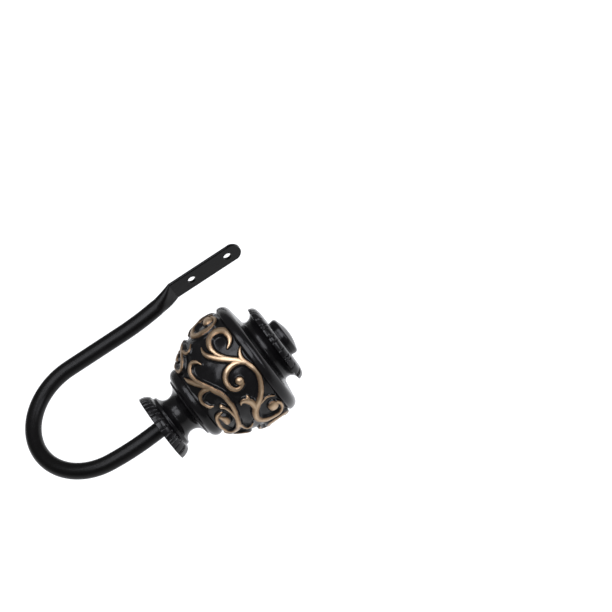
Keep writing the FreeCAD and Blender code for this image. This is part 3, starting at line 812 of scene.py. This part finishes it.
def gilt_resin():
    """Polished black resin. Antique gold lies on the tops of the scrolls and leaves their sides dark. The
    gold's tones hold painted shade on its flanks and a painted highlight on its crests.
    """
    nodes = Nodes("gilt_resin")
    attribute = nodes.add("ShaderNodeAttribute")
    attribute.attribute_name = "gilt"
    small = nodes.noise(scale=420.0, detail=4.0, roughness=0.6)
    small_patches = nodes.vary(small, -SMALL_PATCH_SHIFT, SMALL_PATCH_SHIFT)
    near_crest = nodes.math("ADD", attribute.outputs["Fac"], small_patches)
    covered = nodes.span(near_crest, GOLD_BEGINS, GOLD_FULL, 0.0, 1.0)
    broad_patches = nodes.vary(nodes.noise(scale=110.0), -BROAD_PATCH_SHIFT, BROAD_PATCH_SHIFT)
    # Painted shade and painted highlight: the gold's tones darken towards the flanks and turn pale on the
    # crests.
    gold = nodes.ramp(nodes.math("ADD", near_crest, broad_patches), GOLD_TONES_WITH_PAINTED_SHADE)
    resin = nodes.mottle(nodes.noise(scale=45.0, detail=4.0), RESIN_TONES)
    nodes.surface("Base Color", nodes.mix(covered, resin, gold))
    nodes.surface("Metallic", nodes.math("MULTIPLY", covered, GOLD_METALLIC))
    even = nodes.span(covered, 0.0, 1.0, RESIN_ROUGHNESS, GOLD_ROUGHNESS)
    shift = nodes.vary(nodes.noise(scale=260.0, detail=4.0), *ROUGHNESS_SHIFT)
    nodes.surface("Roughness", nodes.math("ADD", even, shift))
    nodes.surface("Specular IOR Level", RESIN_SPECULAR)
    nodes.bump(nodes.noise(scale=700.0, detail=4.0), distance=0.12, strength=0.35)
    return nodes.material


def pale_floor():
    """Pale floor: seen white, with the object's soft shadow left in it."""
    nodes = Nodes("pale_floor")
    nodes.surface("Base Color", srgb(*FLOOR_TONE))
    nodes.surface("Roughness", FLOOR_ROUGHNESS)
    nodes.surface("Emission Color", WHITE)
    path = nodes.add("ShaderNodeLightPath")
    seen = nodes.math("MAXIMUM", path.outputs["Is Camera Ray"], path.outputs["Is Glossy Ray"])
    seen = nodes.math("MAXIMUM", seen, path.outputs["Is Transmission Ray"])
    nodes.surface("Emission Strength", nodes.math("MULTIPLY", seen, FLOOR_GLOW))
    return nodes.material


def dress(node, material):
    """Put a material on one of the frame's own pieces."""
    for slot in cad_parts[node].material_slots:
        slot.material = material


# Stage, light and camera.


def picture_axes():
    """The picture's right and up, in the frame."""
    level = Vector((math.cos(CAMERA_AZIMUTH), math.sin(CAMERA_AZIMUTH), 0.0))
    upright = TO_CAMERA.cross(level)
    right = level * math.cos(CAMERA_ROLL) + upright * math.sin(CAMERA_ROLL)
    up = upright * math.cos(CAMERA_ROLL) - level * math.sin(CAMERA_ROLL)
    return right, up


def add_camera():
    """The photograph's camera, turned so that the aim point comes out at its pixel."""
    right, up = picture_axes()
    position = CAMERA_AIM + TO_CAMERA * CAMERA_DISTANCE
    to_right, to_bottom = ((PHOTO_PIXELS / 2 - pixel) / PIXELS_PER_MM for pixel in AIM_PIXEL)
    target = CAMERA_AIM + right * to_right - up * to_bottom
    back = (position - target).normalized()
    side = up.cross(back).normalized()
    data = bpy.data.cameras.new("photo_camera")
    data.sensor_width = SENSOR_WIDTH
    data.lens = PIXELS_PER_MM * CAMERA_DISTANCE * SENSOR_WIDTH / PHOTO_PIXELS
    data.clip_end = FARTHEST_SEEN * MM
    camera = add_object("photo_camera", data)
    rotation = Matrix((side, back.cross(side), back)).transposed()
    camera.matrix_world = Matrix.Translation(position * MM) @ rotation.to_4x4()
    bpy.context.scene.camera = camera


def add_softbox(name, azimuth, elevation, roll, size, radiance):
    """A soft oval lamp that looks at the middle of the object. Its length is level before it is rolled."""
    low, high = (Vector(corner) for corner in CAD_BOX)
    away = direction(math.radians(azimuth), math.radians(elevation))
    data = bpy.data.lights.new(name, "AREA")
    data.shape = "ELLIPSE"
    data.size, data.size_y = size
    area = math.pi / 4 * size[0] * size[1]
    data.energy = radiance * math.pi * area
    data.color = LAMP_COLOUR
    lamp = add_object(name, data)
    rolled = Matrix.Rotation(math.radians(roll), 4, "Z")
    turned = away.to_track_quat("Z", "Y").to_matrix().to_4x4() @ rolled
    lamp.matrix_world = Matrix.Translation((low + high) / 2 + away * SOFTBOX_DISTANCE) @ turned


def add_floor():
    half = FLOOR_SIZE * MM / 2
    height = -FLOOR_DROP * MM
    outline = ((-half, -half), (half, -half), (half, half), (-half, half))
    mesh = bpy.data.meshes.new("floor")
    mesh.from_pydata([(x, y, height) for x, y in outline], [], [(0, 1, 2, 3)])
    floor = add_object("floor", mesh)
    floor.data.materials.append(pale_floor())


def light_world():
    world = bpy.data.worlds.new("studio")
    world.use_nodes = True
    background = world.node_tree.nodes["Background"]
    background.inputs["Color"].default_value = WHITE
    background.inputs["Strength"].default_value = WORLD_LEVEL
    bpy.context.scene.world = world


dress("hook_arm", black_coat())
steel = plain_steel()
dress("tube_insert", steel)
dress("finial_stud", steel)
build_finial().data.materials.append(gilt_resin())
add_floor()
light_world()
for softbox, settings in SOFTBOXES.items():
    add_softbox(softbox, **settings)
add_camera()
bpy.context.scene.view_settings.view_transform = "Standard"
